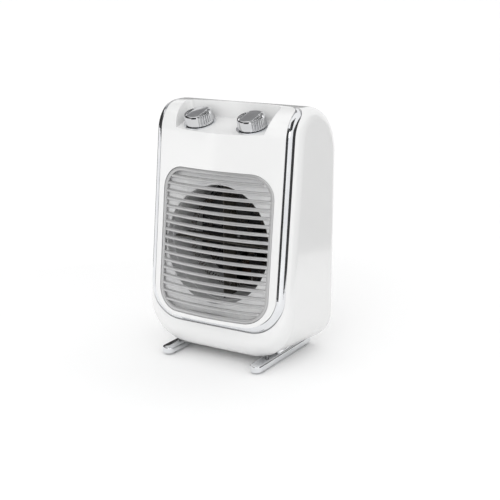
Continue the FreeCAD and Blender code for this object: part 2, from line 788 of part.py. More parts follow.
# spider that carries the motor off the duct's rear flange, with spacers round its two bolts
spider_y = size("duct_back")
rim_outer = cylinder("rim_outer", "dims.duct_bore + 7", "2", along_axis(spider_y), TO_BACK)
rim_inner = cylinder("rim_inner", "dims.duct_bore - 0.5", "10", along_axis(spider_y - 4), TO_BACK)
rim = cut("spider_rim", rim_outer, rim_inner)
arms = []
for index in range(4):
    arm = box("spider_arm", "dims.duct_bore + 1 - 8", "2", "7")
    turn = Rotation(Y_AXIS, 45 + 90 * index)
    arm.Placement = Placement(along_axis(spider_y), turn) * Placement(Vector(8, 0, -3.5), UP)
    arms.append(arm)
spider_plate = box("spider_plate", "46", "2", "14", Vector(-23, spider_y, AXIS - 7))
spider_bore = cylinder("spider_bore", "4", "20", along_axis(spider_y - 5), TO_BACK)
spider_holes = [
    cylinder("spider_hole", "dims.screw_shank", "60", p + Vector(0, 15, 0), TO_BACK) for p in BOLTS]
rim_holes = [
    cylinder("rim_hole", "dims.screw_shank", "9", p + Vector(0, 20, 0), TO_BACK) for p in FLANGE_SCREWS]
spider_body = fuse("spider_body", [rim, spider_plate] + arms)
spider_cuts = fuse("spider_cuts", [spider_bore] + spider_holes + rim_holes)
motor_spider = keep(cut("motor_spider", spider_body, spider_cuts), "motor_spider")
spider_screws = group("spider_screws", [
    screw(p + Vector(0, spider_y + 2 + size("head_thick"), 0), TO_FRONT, 4) for p in FLANGE_SCREWS])
keep(spider_screws, "spider_screws")
rear_bracket_back = size("core_front") + 17
motor_bolts = group("motor_bolts", [
    screw(p + Vector(0, rear_bracket_back + size("head_thick"), 0), TO_FRONT, rear_bracket_back - spider_y)
    for p in BOLTS])
keep(motor_bolts, "motor_bolts")
core_back = size("core_front") + size("core_thick")
spacer_spans = (
    (spider_y + 2, size("motor_front")),
    (size("motor_front") + 2, size("core_front")),
    (core_back, size("core_front") + 15),
)
spacers = []
for point in BOLTS:
    for start, end in spacer_spans:
        spacer = ring_body("spacer", "3.2", "dims.screw_shank", "%g" % (end - start))
        spacer.Placement = Placement(point + Vector(0, start, 0), TO_BACK)
        spacers.append(spacer)
keep(group("motor_spacers", spacers), "motor_spacers")
keep(cover_screws, "cover_screws")


# ---- controls ---------------------------------------------------------------------------------------

BRACKET_THICK = 1.5
BRACKET_TOP = -size("recess_wall")
SWITCH_TOP = BRACKET_TOP - BRACKET_THICK
BUSH_END = 0.9
THERMOSTAT_DEPTH = 14.0
SELECTOR_DEPTH = 20.0
RIB_COUNT = 11
RIB_STEP = 9.6


def knob(node, x):
    """Fluted knob: a tapered drum, ribs on both flanks, a smooth bar from front to back, a blind bore."""
    drum = doc.addObject("Part::Cone", node + "_drum")
    bind(drum, Radius1="dims.knob_radius", Radius2="dims.knob_radius - 0.6", Height="dims.knob_length")
    pieces = [drum]
    for flank in (0, 180):
        for index in range(RIB_COUNT):
            turn = Rotation(Z_AXIS, flank + (index - (RIB_COUNT - 1) / 2) * RIB_STEP)
            rib = cylinder(node + "_rib", "0.9", "dims.knob_length - 0.4")
            rib.Placement = Placement(turn.multVec(Vector(size("knob_radius") - 0.5, 0, 0)), turn)
            pieces.append(rib)
    bar_box = box(node + "_bar_box", "2 * dims.bar_half", "40", "dims.knob_length + 1")
    bar_box.Placement.Base = Vector(-size("bar_half"), -20, 0)
    bar_round = cylinder(node + "_bar_round", "dims.knob_radius + 0.5", "30", Vector(0, 0, -1))
    pieces.append(common(node + "_bar", [bar_box, bar_round]))
    bore = cylinder(node + "_bore", "dims.spindle_radius", "dims.knob_length - 2", Vector(0, 0, -1))
    return keep(cut(node, fuse(node + "_body", pieces), bore), node, on_recess(x, 0, size("knob_lift")))


def control(name, x, width, length, depth):
    """A switch or thermostat under the recess: body with threaded bush, and its spindle."""
    block = box(name + "_block", "%g" % width, "%g" % length, "%g" % depth)
    block.Placement.Base = Vector(-width / 2, -length / 2, SWITCH_TOP - depth)
    bush_length = "%g" % (BUSH_END - SWITCH_TOP + 1)
    bush = cylinder(name + "_bush", "dims.bush_radius", bush_length, Vector(0, 0, SWITCH_TOP - 1))
    bore_at = Vector(0, 0, SWITCH_TOP - 12)
    bore = cylinder(name + "_bore", "dims.spindle_radius + dims.running_gap", "40", bore_at)
    body = cut(name + "_body", fuse(name + "_solid", [block, bush]), bore)
    keep(body, name + "_body", on_recess(x, 0, 0))
    spindle = ring_body(name + "_spindle", "dims.spindle_radius", None, "19.5")
    keep(spindle, name + "_spindle", on_recess(x, 0, SWITCH_TOP - 11.6))
    ring = ring_body(name + "_ring", "dims.ring_radius", "dims.bush_radius + 0.3", "dims.ring_thick")
    keep(ring, name + "_ring", on_recess(x, 0, 0))


spread = size("knob_spread")
knob("thermostat_knob", -spread)
knob("selector_knob", spread)
control("thermostat", -spread, 27, 27, THERMOSTAT_DEPTH)
control("selector", spread, 24, 27, SELECTOR_DEPTH)

bracket = box("bracket_plate", "101", "24", "%g" % BRACKET_THICK)
bracket.Placement.Base = Vector(-50.5, -12, SWITCH_TOP)
CONTROL_SCREWS = [side * (spread + step) for side in (-1, 1) for step in (-17.2, 17.2)]
bracket_holes = [
    cylinder("bracket_bush_hole", "dims.bush_radius + 0.1", "9", Vector(side * spread, 0, -8))
    for side in (-1, 1)
]
bracket_holes += [cylinder("bracket_hole", "dims.screw_shank", "9", Vector(x, 0, -8)) for x in CONTROL_SCREWS]
keep(cut("control_bracket", bracket, fuse("bracket_cuts", bracket_holes)), "control_bracket", RECESS)
control_screws = group("control_screws", [
    screw(Vector(x, 0, SWITCH_TOP - size("head_thick")), UP, 3.0) for x in CONTROL_SCREWS])
keep(control_screws, "control_screws", RECESS)
pilot_holes = [
    cylinder("pilot_hole", "dims.screw_shank", "%g" % (SWITCH_TOP + 11.0), Vector(x, 0, -8))
    for x in CONTROL_SCREWS
]
pilots = fuse("pilots", pilot_holes)
pilots.Placement = RECESS
panel_cuts.Shapes = panel_cuts.Shapes + [pilots]


# ---- feet -------------------------------------------------------------------------------------------


def foot(node, side):
    """Bar foot: round nosed at both ends, softened along its length, with recesses for pads and screws."""
    length, height = "dims.foot_back - dims.foot_front", "dims.foot_high - dims.foot_low"
    blank = box(node + "_blank", "dims.foot_width", length, height)
    doc.recompute()
    nosed = doc.addObject("Part::Fillet", node + "_nosed")
    nosed.Base = blank
    ends = []
    for index, edge in enumerate(blank.Shape.Edges, start=1):
        bounds = edge.BoundBox
        if bounds.XLength > 1:
            radius = 4.5 if bounds.ZMax < 1 else 3.0
            ends.append((index, radius, radius))
    nosed.Edges = ends
    doc.recompute()
    soft = doc.addObject("Part::Fillet", node + "_soft")
    soft.Base = nosed
    width = size("foot_width")
    rims = []
    for index, edge in enumerate(nosed.Shape.Edges, start=1):
        bounds = edge.BoundBox
        if bounds.XLength < 0.01 and (bounds.XMax < 0.01 or bounds.XMin > width - 0.01):
            rims.append((index, 2.0, 2.0))
    soft.Edges = rims
    left = side * size("foot_spread") - width / 2
    soft.Placement.Base = Vector(left, size("foot_front"), size("foot_low"))
    holes = []
    for x, y in FOOT_SCREWS:
        if x * side > 0:
            holes.append(cylinder(node + "_hole", "dims.screw_shank", "40", Vector(x, y, -5)))
            holes.append(cylinder(node + "_counterbore", "dims.screw_head + 0.3", "11", Vector(x, y, -5)))
    for y in PAD_PLACES:
        at = Vector(side * size("foot_spread"), y, -1)
        holes.append(cylinder(node + "_pad_recess", "dims.pad_radius + 0.1", "dims.foot_low + 1.5", at))
    saddle_at = Vector(side * size("foot_spread") - 5, SADDLE[0], size("foot_low") + 8)
    saddle = box(node + "_saddle", "10", "%g" % (SADDLE[1] - SADDLE[0]), "12", saddle_at)
    seated = cut(node + "_seated", fuse(node + "_body", [soft, saddle]), casing_outer)
    return keep(cut(node, seated, fuse(node + "_cuts", holes)), node)


SADDLE = (-38.0, 44.0)
PAD_PLACES = (-44.0, 43.0)
foot("left_foot", -1)
foot("right_foot", 1)
pads = []
for side in (-1, 1):
    for y in PAD_PLACES:
        pad = ring_body("foot_pad", "dims.pad_radius", None, "dims.foot_low + 0.5")
        pad.Placement.Base = Vector(side * size("foot_spread"), y, 0)
        pads.append(pad)
keep(group("foot_pads", pads), "foot_pads")
foot_screws = group("foot_screws", [
    screw(Vector(x, y, 6 - size("head_thick")), UP, 12) for x, y in FOOT_SCREWS])
keep(foot_screws, "foot_screws")


# ---- tip-over switch, terminals and wires -----------------------------------------------------------

FLOOR = size("case_bottom") + size("case_wall")
SWITCH_BORE_TOP = FLOOR + 14.0
switch_block = box("switch_block", "22", "14", "18", Vector(-11, size("switch_y") - 7, FLOOR))
switch_at = Vector(0, size("switch_y"), 0)
neck = cylinder("switch_neck", "dims.plunger_radius + dims.running_gap", "30", switch_at)
chamber_at = switch_at + Vector(0, 0, FLOOR + 2)
chamber = cylinder("switch_chamber", "4.6", "%g" % (SWITCH_BORE_TOP - FLOOR - 2), chamber_at)
switch_room = fuse("switch_room", [common("switch_neck_cut", [neck, switch_block]), chamber])
keep(cut("tip_switch_body", switch_block, switch_room), "tip_switch_body")
collar_low = FLOOR + 8.8
stem = cylinder("plunger_stem", "dims.plunger_radius", "%g" % (collar_low + 3), switch_at)
collar = cylinder("plunger_collar", "4.3", "2", switch_at + Vector(0, 0, collar_low))
keep(fuse("tip_switch_plunger", [stem, collar]), "tip_switch_plunger")
spring_low, spring_high = collar_low + 2.1, SWITCH_BORE_TOP - 0.1
spring = ring_body("plunger_spring", "4.2", "3.3", "%g" % (spring_high - spring_low))
keep(spring, "plunger_spring", Placement(switch_at + Vector(0, 0, spring_low), UP))
terminals = box("terminals", "27", "13", "12", Vector(-37, 23, FLOOR))
PORTS = [Vector(-32 + 8.5 * index, 29.5, FLOOR + 5) for index in range(3)]
ports = [cylinder("port", "2", "9", point) for point in PORTS]
keep(cut("terminal_block", terminals, fuse("ports", ports)), "terminal_block")


def wire(node, points, radius=1.1, bend=7.0):
    """An insulated wire: straight runs joined by tangent arcs."""
    edges = []
    start = points[0]
    for before, corner, after in zip(points, points[1:], points[2:]):
        into, out = (before - corner).normalize(), (after - corner).normalize()
        half_turn = (math.pi - into.getAngle(out)) / 2
        reach = bend * math.tan(half_turn)
        middle = corner + (into + out).normalize() * (bend / math.cos(half_turn) - bend)
        first, last = corner + into * reach, corner + out * reach
        edges.append(Part.LineSegment(start, first).toShape())
        edges.append(Part.Arc(first, middle, last).toShape())
        start = last
    edges.append(Part.LineSegment(start, points[-1]).toShape())
    path = Part.Wire(edges)
    circle = Part.Wire(Part.Circle(points[0], points[1] - points[0], radius).toShape())
    keep(feature(node, path.makePipeShell([circle], True, False)), node)


duct_side = size("duct_bore") + size("duct_wall")
under_thermostat = on_recess(-spread, 5, SWITCH_TOP - THERMOSTAT_DEPTH).Base
under_selector = on_recess(spread, 5, SWITCH_TOP - SELECTOR_DEPTH).Base
straight_down = RECESS.Rotation.multVec(Vector(0, 0, -16))
wire("live_wire", [
    PORTS[0],
    PORTS[0] + Vector(0, 0, 26),
    Vector(-73, 34, 72),
    Vector(-73, 20, 180),
    under_thermostat + straight_down,
    under_thermostat,
])
wire("neutral_wire", [
    PORTS[1],
    PORTS[1] + Vector(0, 0, 18),
    Vector(-70, 8, 60),
    Vector(-74, -15, AXIS - 24),
    Vector(-74, -15, AXIS),
    Vector(-duct_side - 0.1, -15, AXIS),
])
wire("element_wire", [
    under_selector,
    under_selector + straight_down,
    Vector(68, 4, 184),
    Vector(74, -15, AXIS + 24),
    Vector(74, -15, AXIS),
    Vector(duct_side + 0.1, -15, AXIS),
])
wire("motor_wire", [
    Vector(-6, 39, CORE_LOW - 4.5),
    Vector(-6, 39, 58),
    PORTS[2] + Vector(0, 0, 24),
    PORTS[2],
])


# ---- checks and export ------------------------------------------------------------------------------

doc.recompute()
failed = [o.Label for o in doc.Objects if "Invalid" in o.State or "Error" in o.State]
for obj in NODES:
    if obj.Shape.isNull() or not obj.Shape.isValid() or not obj.Shape.Solids:
        failed.append(obj.Label)
if failed:
    raise RuntimeError("failed objects: " + ", ".join(failed))
os.makedirs("parts", exist_ok=True)
for obj in NODES:
    obj.Shape.exportStep("parts/%s.step" % obj.Label)
print("%d nodes written" % len(NODES))
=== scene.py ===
import json
import math

import bmesh
import bpy
from mathutils import Matrix, Vector


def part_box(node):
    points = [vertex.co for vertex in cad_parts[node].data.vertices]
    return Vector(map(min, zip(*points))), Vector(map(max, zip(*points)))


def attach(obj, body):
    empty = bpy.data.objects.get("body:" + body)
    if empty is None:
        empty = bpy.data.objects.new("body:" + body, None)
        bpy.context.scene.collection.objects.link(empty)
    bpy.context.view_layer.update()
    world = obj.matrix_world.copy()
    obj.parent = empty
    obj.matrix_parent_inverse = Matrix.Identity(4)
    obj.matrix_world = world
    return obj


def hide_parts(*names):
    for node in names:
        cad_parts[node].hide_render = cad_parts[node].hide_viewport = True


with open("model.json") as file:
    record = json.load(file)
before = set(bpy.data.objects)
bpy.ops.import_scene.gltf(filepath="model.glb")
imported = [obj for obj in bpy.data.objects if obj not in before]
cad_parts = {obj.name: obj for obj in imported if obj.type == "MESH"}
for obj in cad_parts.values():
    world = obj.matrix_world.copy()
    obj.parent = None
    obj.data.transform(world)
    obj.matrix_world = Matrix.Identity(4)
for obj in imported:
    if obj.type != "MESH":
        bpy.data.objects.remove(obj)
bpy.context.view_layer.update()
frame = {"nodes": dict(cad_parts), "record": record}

MM = 0.001
scene = bpy.context.scene
nodes = frame["nodes"]

# ---- camera -----------------------------------------------------------------------------------------

CAMERA_AZIMUTH = 30.9  # degrees round from the front, towards +X
CAMERA_HEIGHT = 15.08  # degrees above the horizon
CAMERA_DISTANCE = 1.0484
CAMERA_AIM = Vector((0.0200, -0.00925, 0.1107))
CAMERA_LENS = 75.26


def direction(azimuth, elevation):
    """Unit vector towards a place given in degrees: azimuth from the front (-Y) towards +X."""
    a, e = math.radians(azimuth), math.radians(elevation)
    return Vector((math.sin(a) * math.cos(e), -math.cos(a) * math.cos(e), math.sin(e)))


camera_data = bpy.data.cameras.new("camera")
camera_data.lens = CAMERA_LENS
camera_data.clip_start = 0.05
camera = bpy.data.objects.new("camera", camera_data)
camera.location = CAMERA_AIM + direction(CAMERA_AZIMUTH, CAMERA_HEIGHT) * CAMERA_DISTANCE
camera.rotation_euler = (math.radians(90 - CAMERA_HEIGHT), 0, math.radians(CAMERA_AZIMUTH))
scene.collection.objects.link(camera)
scene.camera = camera


# ---- light and flags --------------------------------------------------------------------------------


def mesh_object(name, verts, faces, smooth=True):
    """Object in the scene from points in metres and faces."""
    mesh = bpy.data.meshes.new(name)
    mesh.from_pydata([tuple(v) for v in verts], [], faces)
    mesh.validate()
    mesh.polygons.foreach_set("use_smooth", [smooth] * len(mesh.polygons))
    obj = bpy.data.objects.new(name, mesh)
    scene.collection.objects.link(obj)
    return obj


ROOM_LIGHT = 1.05
ROOM_SPREAD = 0.06  # the brightest side of the room is this share above the average, the darkest below
ROOM_BRIGHTEST = (10, 35)  # azimuth and elevation in degrees
LIGHT_AIM = Vector((0, 0, 0.13))
DIALS_AIM = Vector((0, 0, 0.24))
FLAG_FOOT = 0.001  # height of a standing flag's lower edge


def area_light(name, azimuth, elevation, distance, size, power):
    """Square soft box that faces the middle of the object."""
    data = bpy.data.lights.new(name, "AREA")
    data.shape = "SQUARE"
    data.size = size
    data.energy = power
    light = bpy.data.objects.new(name, data)
    light.location = LIGHT_AIM + direction(azimuth, elevation) * distance
    light.rotation_euler = (LIGHT_AIM - light.location).to_track_quat("-Z", "Y").to_euler()
    scene.collection.objects.link(light)


def studio_light():
    """A white room, a little brighter high up in front."""
    world = bpy.data.worlds.new("studio")
    world.use_nodes = True
    scene.world = world
    tree = world.node_tree
    place = tree.nodes.new("ShaderNodeTexCoord").outputs["Generated"]
    toward = tree.nodes.new("ShaderNodeVectorMath")
    toward.operation = "DOT_PRODUCT"
    toward.inputs[1].default_value = direction(*ROOM_BRIGHTEST)
    tree.links.new(place, toward.inputs[0])
    glow = tree.nodes.new("ShaderNodeMapRange")
    glow.inputs["From Min"].default_value = -1
    glow.inputs["To Min"].default_value = ROOM_LIGHT * (1 - ROOM_SPREAD)
    glow.inputs["To Max"].default_value = ROOM_LIGHT * (1 + ROOM_SPREAD)
    tree.links.new(toward.outputs["Value"], glow.inputs["Value"])
    background = tree.nodes["Background"]
    background.inputs["Color"].default_value = (1, 1, 1, 1)
    tree.links.new(glow.outputs["Result"], background.inputs["Strength"])


def flag_card(name, corners, cloth):
    """A flat card that only shiny surfaces see."""
    card = mesh_object(name, corners, [(0, 1, 2, 3)], smooth=False)
    card.data.materials.append(cloth)
    card.visible_camera = False
    card.visible_diffuse = False
    card.visible_shadow = False


def standing_flag(name, azimuth, distance, width, height, cloth):
    """A card that stands on the floor and faces the object."""
    foot = direction(azimuth, 0) * distance
    along = direction(azimuth + 90, 0) * (width / 2)
    low, high = Vector((0, 0, FLAG_FOOT)), Vector((0, 0, height))
    corners = [foot - along + low, foot + along + low, foot + along + high, foot - along + high]
    flag_card(name, corners, cloth)


def hanging_flag(name, azimuth, elevation, distance, width, height, cloth):
    """A card off the floor that faces the dials."""
    toward = direction(azimuth, elevation)
    centre = DIALS_AIM + toward * distance
    side = toward.cross(Vector((0, 0, 1))).normalized() * (width / 2)
    up = side.cross(toward).normalized() * (height / 2)
    corners = [centre - side - up, centre + side - up, centre + side + up, centre - side + up]
    flag_card(name, corners, cloth)


scene.view_settings.view_transform = "Standard"
studio_light()
area_light("key", 10, 30, 1.5, 0.8, 3.2)


# ---- materials --------------------------------------------------------------------------------------


MIX_FIRST, MIX_SECOND, MIX_RESULT = 6, 7, 2  # the colour sockets of a Mix node


class Paint:
    """A node material: a Principled shader with procedural detail in object coordinates."""

    def __init__(self, name, base, roughness, metallic=0.0):
        self.material = bpy.data.materials.new(name)
        self.material.use_nodes = True
        self.tree = self.material.node_tree
        self.shader = self.tree.nodes["Principled BSDF"]
        self.base = base
        self.shader.inputs["Metallic"].default_value = metallic
        self.set("Base Color", (*base, 1))
        self.set("Roughness", roughness)
        self.place = self.tree.nodes.new("ShaderNodeTexCoord").outputs["Object"]
        self.height = None

    def set(self, socket, value):
        self.shader.inputs[socket].default_value = value
        return self

    def link(self, output, target):
        self.tree.links.new(output, target)

    def stretched(self, scale):
        mapping = self.tree.nodes.new("ShaderNodeMapping")
        mapping.inputs["Scale"].default_value = scale
        self.link(self.place, mapping.inputs["Vector"])
        return mapping.outputs["Vector"]

    def noise(self, scale, detail=3.0, stretch=None):
        node = self.tree.nodes.new("ShaderNodeTexNoise")
        node.inputs["Scale"].default_value = scale
        node.inputs["Detail"].default_value = detail
        self.link(self.stretched(stretch) if stretch else self.place, node.inputs["Vector"])
        return node.outputs["Fac"]

    def cells(self, scale):
        node = self.tree.nodes.new("ShaderNodeTexVoronoi")
        node.inputs["Scale"].default_value = scale
        self.link(self.place, node.inputs["Vector"])
        return node.outputs["Distance"]

    def waves(self, axis, scale, distortion):
        node = self.tree.nodes.new("ShaderNodeTexWave")
        node.bands_direction = axis
        node.inputs["Scale"].default_value = scale
        node.inputs["Distortion"].default_value = distortion
        self.link(self.place, node.inputs["Vector"])
        return node.outputs["Fac"]

    def spread(self, factor, low, high, start=0.3, end=0.7):
        """Maps a noise value onto a range."""
        node = self.tree.nodes.new("ShaderNodeMapRange")
        node.inputs["From Min"].default_value = start
        node.inputs["From Max"].default_value = end
        node.inputs["To Min"].default_value = low
        node.inputs["To Max"].default_value = high
        self.link(factor, node.inputs["Value"])
        return node.outputs["Result"]

    def tint(self, factor, shift, start=0.3, end=0.7):
        """Colour that wanders between the base and a shifted base."""
        node = self.tree.nodes.new("ShaderNodeMix")
        node.data_type = "RGBA"
        self.link(self.spread(factor, 0, 1, start, end), node.inputs["Factor"])
        node.inputs[MIX_FIRST].default_value = (*self.base, 1)
        node.inputs[MIX_SECOND].default_value = (*(c * s for c, s in zip(self.base, shift)), 1)
        self.link(node.outputs[MIX_RESULT], self.shader.inputs["Base Color"])
        return self

    def rough(self, factor, low, high):
        """Roughness that wanders between two values."""
        self.link(self.spread(factor, low, high), self.shader.inputs["Roughness"])
        return self

    def bump(self, factor, distance):
        """Relief of a height in metres, on top of any relief from an earlier call."""
        node = self.tree.nodes.new("ShaderNodeBump")
        node.inputs["Distance"].default_value = distance
        node.inputs["Strength"].default_value = 1.0
        self.link(factor, node.inputs["Height"])
        if self.height is not None:
            self.link(self.height, node.inputs["Normal"])
        self.height = node.outputs["Normal"]
        self.link(self.height, self.shader.inputs["Normal"])
        return self


def white_plastic():
    p = Paint("white_plastic", (0.76, 0.76, 0.757), 0.2)
    p.tint(p.noise(9, 2), (0.985, 0.988, 0.992))
    p.rough(p.noise(55, 4), 0.13, 0.24)
    p.bump(p.noise(1400, 2), 0.000012).bump(p.noise(45, 2), 0.00006)
    return p.set("Coat Weight", 0.35).set("Coat Roughness", 0.06).set("IOR", 1.52).material


def chrome(name, base=(0.80, 0.81, 0.82)):
    p = Paint(name, base, 0.06, 1.0)
    p.tint(p.noise(70, 3), (0.93, 0.93, 0.95))
    p.rough(p.noise(240, 4), 0.035, 0.11)
    return p.bump(p.noise(60, 1, (1, 1, 4)), 0.00002).material


def grille_paint():
    p = Paint("grille_paint", (0.43, 0.43, 0.435), 0.4, 0.55)
    p.tint(p.cells(2600), (1.18, 1.18, 1.17), 0.1, 0.6)
    p.rough(p.noise(120, 4), 0.28, 0.42)
    return p.bump(p.noise(2200, 2), 0.00001).material


def satin_plastic(name, base):
    p = Paint(name, base, 0.45)
    p.tint(p.noise(30, 3), (0.88, 0.88, 0.9))
    p.rough(p.noise(80, 4), 0.36, 0.56)
    return p.bump(p.noise(900, 2), 0.00002).material


def brushed(name, base, stretch, roughness=(0.25, 0.45)):
    p = Paint(name, base, 0.35, 1.0)
    lines = p.noise(30, 4, stretch)
    p.tint(lines, (0.8, 0.8, 0.8))
    p.rough(lines, *roughness)
    return p.bump(lines, 0.00001).material


def mica():
    p = Paint("mica", (0.045, 0.042, 0.038), 0.5)
    flakes = p.cells(350)
    p.tint(flakes, (2.0, 1.9, 1.7), 0.2, 0.8)
    p.rough(p.noise(200, 3), 0.3, 0.6)
    return p.bump(flakes, 0.00003).material


def heated_wire():
    p = Paint("heated_wire", (0.10, 0.093, 0.088), 0.5, 0.9)
    p.tint(p.noise(60, 3), (1.5, 1.25, 1.0))
    p.rough(p.noise(300, 3), 0.35, 0.6)
    return p.bump(p.noise(3000, 2), 0.00002).material


def laminations():
    p = Paint("laminations", (0.30, 0.30, 0.31), 0.5, 0.9)
    sheets = p.waves("Y", 300, 0.3)
    p.tint(sheets, (0.55, 0.55, 0.55), 0.2, 0.8)
    p.rough(p.noise(150, 4), 0.4, 0.65)
    return p.bump(sheets, 0.00008).material


def windings():
    p = Paint("windings", (0.10, 0.05, 0.03), 0.45, 0.5)
    turns = p.waves("X", 420, 0.6)
    p.tint(turns, (0.5, 0.45, 0.4), 0.2, 0.8)
    p.rough(p.noise(150, 4), 0.22, 0.4)
    return p.bump(turns, 0.0001).material


def rubber(name, base):
    p = Paint(name, base, 0.7)
    p.tint(p.noise(90, 4), (0.75, 0.75, 0.78))
    p.rough(p.noise(160, 4), 0.55, 0.8)
    return p.bump(p.noise(1500, 3), 0.00003).material


SLOT_MATERIALS = {
    "white_plastic": white_plastic(),
    "chrome": chrome("chrome_polish"),
    # darker copy of the chrome, painted shade: a lower base so that the dials read darker than the trim and
    # feet
    "knob_chrome": chrome("knob_chrome", (0.60, 0.605, 0.61)),
    "grille_grey": grille_paint(),
    "plate_white": satin_plastic("plate_white", (0.93, 0.93, 0.925)),
    "duct_grey": satin_plastic("duct_grey", (0.80, 0.80, 0.80)),
    "liner_steel": satin_plastic("liner_steel", (0.78, 0.78, 0.78)),
    "mica": mica(),
    "coil_wire": heated_wire(),
    "black_plastic": satin_plastic("black_plastic", (0.022, 0.022, 0.024)),
    "steel": brushed("bright_steel", (0.24, 0.243, 0.246), (1, 8, 1)),
    "core_steel": laminations(),
    "copper": windings(),
    "bronze": brushed("bronze", (0.55, 0.38, 0.18), (4, 1, 4)),
    "rubber_black": rubber("rubber_black", (0.03, 0.03, 0.031)),
    "wire_red": rubber("wire_red", (0.45, 0.06, 0.05)),
    "wire_blue": rubber("wire_blue", (0.05, 0.14, 0.42)),
    "wire_white": rubber("wire_white", (0.78, 0.78, 0.76)),
    "terminal_white": satin_plastic("terminal_white", (0.55, 0.55, 0.52)),
}

for part in frame["record"]["subparts"]:
    cad = nodes[part["node"]]
    cad.data.materials.clear()
    cad.data.materials.append(SLOT_MATERIALS[part["material_slot"]])


def finish_piece(obj, body, slot, *replaced):
    """Gives a piece its finish and its body, and hides the plain solids it stands for."""
    obj.data.materials.append(SLOT_MATERIALS[slot])
    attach(obj, body)
    if replaced:
        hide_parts(*replaced)


def swept(rings, closed=False):
    """Vertices and faces of a skin over rings with equal numbers of points; open ends get caps."""
    n = len(rings[0])
    verts = [v for ring in rings for v in ring]
    faces = []
    spans = len(rings) if closed else len(rings) - 1
    for r in range(spans):
        s = (r + 1) % len(rings)
        for c in range(n):
            d = (c + 1) % n
            faces.append((r * n + c, r * n + d, s * n + d, s * n + c))
    if not closed:
        faces.append(tuple(range(n))[::-1])
        faces.append(tuple((len(rings) - 1) * n + c for c in range(n)))
    return verts, faces


def merged(name, parts):
    """One object from several (vertices, faces) pairs."""
    verts, faces = [], []
    for part_verts, part_faces in parts:
        base = len(verts)
        verts += part_verts
        faces += [tuple(base + i for i in face) for face in part_faces]
    obj = mesh_object(name, [v * MM for v in verts], faces)
    mesh = bmesh.new()
    mesh.from_mesh(obj.data)
    bmesh.ops.recalc_face_normals(mesh, faces=mesh.faces)
    mesh.to_mesh(obj.data)
    mesh.free()
    return obj


# ---- grille -----------------------------------------------------------------------------------------

PANEL_SLOPE = math.tan(math.radians(6.2))
PANEL_APEX_FOOT = -59.25 - 46 * PANEL_SLOPE
PANEL_CROWN = 250.0
CROWN_SHARE = 0.9965  # the crown is square to the sloping face, so it counts a little less along Y
GRILLE_HALF, GRILLE_LOW, GRILLE_HIGH, GRILLE_CORNER = 63.5, 49.5, 194.5, 24.0
GRILLE_BORDER, GRILLE_THICK, GRILLE_INSET = 4.0, 3.0, 0.3
GRILLE_SLOTS, GRILLE_BAR = 18, 3.4
BAR_THICK = GRILLE_THICK - 0.5
BORDER_ROUND, BAR_ROUND = 1.3, 1.35
BAR_INSET = 0.25  # the bars lie this much behind the border
BAR_OVERLAP = 1.2  # and run this far into it
BAR_SPANS = 48
CORNER_STEPS = 16
OUTLINE_STEP = 1.5


def panel_y(x, z):
    """Depth of the crowned front at a place in the front view, in millimetres."""
    sag = PANEL_CROWN - math.sqrt(PANEL_CROWN ** 2 - x * x)
    return PANEL_APEX_FOOT + z * PANEL_SLOPE + CROWN_SHARE * sag


def soft_section(width, depth, front_radius, back_radius=0.3):
    """Rounded bar section as (across, inward) pairs, the front at inward = 0."""
    half = width / 2
    points = []
    for cx, cy, radius, start in (
        (half - front_radius, front_radius, front_radius, -90),
        (half - back_radius, depth - back_radius, back_radius, 0),
        (back_radius - half, depth - back_radius, back_radius, 90),
        (front_radius - half, front_radius, front_radius, 180),
    ):
        steps = 6 if radius > 0.5 else 2
        for i in range(steps + 1):
            angle = math.radians(start + 90 * i / steps)
            points.append((cx + radius * math.cos(angle), cy + radius * math.sin(angle)))
    return points


def rounded_outline(half, low, high, corner):
    """Points with outward normals round the outline in the front view, counter-clockwise."""
    points = []
    middle = (low + high) / 2
    straight_x, straight_z = half - corner, (high - low) / 2 - corner
    corners = (
        (straight_x, -straight_z, -90, (0, 1), 2 * straight_z),
        (straight_x, straight_z, 0, (-1, 0), 2 * straight_x),
        (-straight_x, straight_z, 90, (0, -1), 2 * straight_z),
        (-straight_x, -straight_z, 180, (1, 0), 2 * straight_x),
    )
    for centre_x, centre_z, start, step, length in corners:
        for i in range(CORNER_STEPS + 1):
            angle = math.radians(start + 90 * i / CORNER_STEPS)
            normal = (math.cos(angle), math.sin(angle))
            at = (centre_x + corner * normal[0], middle + centre_z + corner * normal[1])
            points.append((at, normal))
        (x, z), normal = points[-1]
        count = max(2, int(length / OUTLINE_STEP))
        for i in range(1, count):
            along = length * i / count
            points.append(((x + step[0] * along, z + step[1] * along), normal))
    return points


def grille_border():
    """The rounded frame of the grille, which follows the crown of the panel."""
    section = soft_section(GRILLE_BORDER, GRILLE_THICK, BORDER_ROUND)
    centre = GRILLE_BORDER / 2
    outline = rounded_outline(
        GRILLE_HALF - centre, GRILLE_LOW + centre, GRILLE_HIGH - centre, GRILLE_CORNER - centre)
    rings = []
    for (x, z), (nx, nz) in outline:
        ring = []
        for across, inward in section:
            px, pz = x + nx * across, z + nz * across
            ring.append(Vector((px, panel_y(px, pz) + GRILLE_INSET + inward, pz)))
        rings.append(ring)
    return swept(rings, closed=True)


def grille_bar(z, half):
    """One level bar at a height, as long as the frame is wide there."""
    section = soft_section(GRILLE_BAR, BAR_THICK, BAR_ROUND)
    rings = []
    for i in range(BAR_SPANS + 1):
        x = -half + 2 * half * i / BAR_SPANS
        rings.append([
            Vector((x, panel_y(x, z + across) + GRILLE_INSET + BAR_INSET + inward, z + across))
            for across, inward in section
        ])
    return swept(rings)


